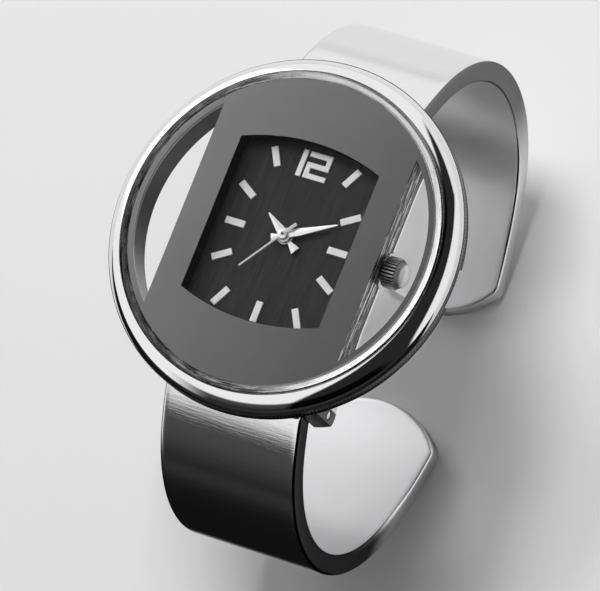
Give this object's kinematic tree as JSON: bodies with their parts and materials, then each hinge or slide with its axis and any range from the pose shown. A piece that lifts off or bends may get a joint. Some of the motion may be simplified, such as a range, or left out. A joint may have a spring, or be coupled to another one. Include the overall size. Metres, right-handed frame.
{
  "type": "cuff watch",
  "caption": "Ladies' quartz cuff watch: round open ring with a bar-shaped centre case, mirror-printed crystal and sprung steel cuff wings.",
  "frame": {"origin": "on the ground between the two free wing ends, under the middle of the dial", "axes": "+Z out of the dial, +Y towards 12 o'clock, +X towards the crown at 3 o'clock"},
  "size_m": [0.0406, 0.06, 0.0466],
  "materials": {
    "case_steel": "satin",
    "polished_steel": "polished",
    "wing_steel": "polished outside, satin inside",
    "crystal_glass": "clear",
    "mirror_coating": "grey mirror",
    "black_plastic": "matte",
    "dial_grey": "brushed sunray",
    "silver_applied": "satin",
    "white_plastic": "moulded",
    "movement_brass": "plated",
    "spring_steel": "drawn",
    "soft_iron": "stamped",
    "coil_copper": "wound wire",
    "circuit_green": "solder mask",
    "battery_steel": "nickel",
    "rubber": "moulded"
  },
  "bodies": {
    "watch_case": {"case_body": "case_steel", "bezel": "polished_steel", "crystal": "crystal_glass", "mirror_print": "mirror_coating", "crystal_gasket": "rubber", "dial_frame": "black_plastic", "dial": "dial_grey", "hour_markers": "silver_applied", "movement_holder": "white_plastic", "main_plate": "movement_brass", "train_bridge": "movement_brass", "bridge_screws": "spring_steel", "stator": "soft_iron", "coil_core": "soft_iron", "coil_winding": "coil_copper", "circuit_board": "circuit_green", "quartz_can": "battery_steel", "battery": "battery_steel", "battery_clamp": "spring_steel", "crown_tube": "case_steel", "case_back": "case_steel", "back_gasket": "rubber", "upper_hinge_pin": "spring_steel", "lower_hinge_pin": "spring_steel", "upper_spring": "spring_steel", "lower_spring": "spring_steel"},
    "hour_train": {"hour_hand": "silver_applied", "hour_wheel": "movement_brass"},
    "minute_train": {"minute_hand": "silver_applied", "center_wheel": "movement_brass"},
    "second_train": {"second_hand": "silver_applied", "second_wheel": "movement_brass"},
    "minute_work": {"minute_wheel": "movement_brass"},
    "third_train": {"third_wheel": "movement_brass"},
    "fifth_train": {"fifth_wheel": "white_plastic"},
    "rotor_body": {"rotor": "soft_iron"},
    "sliding_pinion": {"setting_pinion": "spring_steel"},
    "crown_and_stem": {"crown": "polished_steel", "stem": "spring_steel", "crown_gasket": "rubber"},
    "lever_body": {"setting_lever": "spring_steel"},
    "upper_cuff": {"upper_wing": "wing_steel"},
    "lower_cuff": {"lower_wing": "wing_steel"}
  },
  "joints": [
    {"name": "minute_hand_turn", "type": "hinge", "parent": "watch_case", "child": "minute_train", "pos_m": [0, 0, 0.04061], "axis": [0, 0, -1], "continuous": true},
    {"name": "hour_hand_turn", "type": "hinge", "parent": "watch_case", "child": "hour_train", "pos_m": [0, 0, 0.04061], "axis": [0, 0, -1], "continuous": true},
    {"name": "second_hand_turn", "type": "hinge", "parent": "watch_case", "child": "second_train", "pos_m": [0, 0, 0.04061], "axis": [0, 0, -1], "continuous": true},
    {"name": "minute_wheel_turn", "type": "hinge", "parent": "watch_case", "child": "minute_work", "pos_m": [0.00096, 0.00166, 0.04061], "axis": [0, 0, -1], "continuous": true},
    {"name": "third_wheel_turn", "type": "hinge", "parent": "watch_case", "child": "third_train", "pos_m": [-0.00204, 0.00204, 0.04061], "axis": [0, 0, -1], "continuous": true},
    {"name": "fifth_wheel_turn", "type": "hinge", "parent": "watch_case", "child": "fifth_train", "pos_m": [0.00099, -0.00171, 0.04061], "axis": [0, 0, -1], "continuous": true},
    {"name": "rotor_turn", "type": "hinge", "parent": "watch_case", "child": "rotor_body", "pos_m": [0.00218, -0.0029, 0.04061], "axis": [0, 0, -1], "continuous": true},
    {"name": "crown_turn", "type": "hinge", "parent": "watch_case", "child": "sliding_pinion", "pos_m": [0.0037, 0, 0.04176], "axis": [1, 0, 0], "continuous": true},
    {"name": "crown_pull", "type": "slide", "parent": "sliding_pinion", "child": "crown_and_stem", "axis": [1, 0, 0], "range_m": [0, 0.0007]},
    {"name": "lever_swing", "type": "hinge", "parent": "watch_case", "child": "lever_body", "pos_m": [0.00635, 0.00269, 0.04176], "axis": [0, 0, 1], "range_deg": [0, 18.31]},
    {"name": "upper_wing_hinge", "type": "hinge", "parent": "watch_case", "child": "upper_cuff", "pos_m": [0, 0.0162, 0.03806], "axis": [1, 0, 0], "range_deg": [0, 20], "stiffness_Nm_per_rad": 0.15, "springref_deg": -20.05},
    {"name": "lower_wing_hinge", "type": "hinge", "parent": "watch_case", "child": "lower_cuff", "pos_m": [0, -0.0162, 0.03806], "axis": [-1, 0, 0], "range_deg": [0, 20], "stiffness_Nm_per_rad": 0.15, "springref_deg": -20.05}
  ],
  "couplings": [
    {"joint": "hour_hand_turn", "follows": "minute_hand_turn", "ratio": 0.083333},
    {"joint": "second_hand_turn", "follows": "minute_hand_turn", "ratio": 60},
    {"joint": "minute_wheel_turn", "follows": "minute_hand_turn", "ratio": -0.33333},
    {"joint": "third_wheel_turn", "follows": "minute_hand_turn", "ratio": -8},
    {"joint": "fifth_wheel_turn", "follows": "minute_hand_turn", "ratio": -300},
    {"joint": "rotor_turn", "follows": "minute_hand_turn", "ratio": 1800},
    {"joint": "lever_swing", "follows": "crown_pull", "rad_per_m": 456.49}
  ]
}
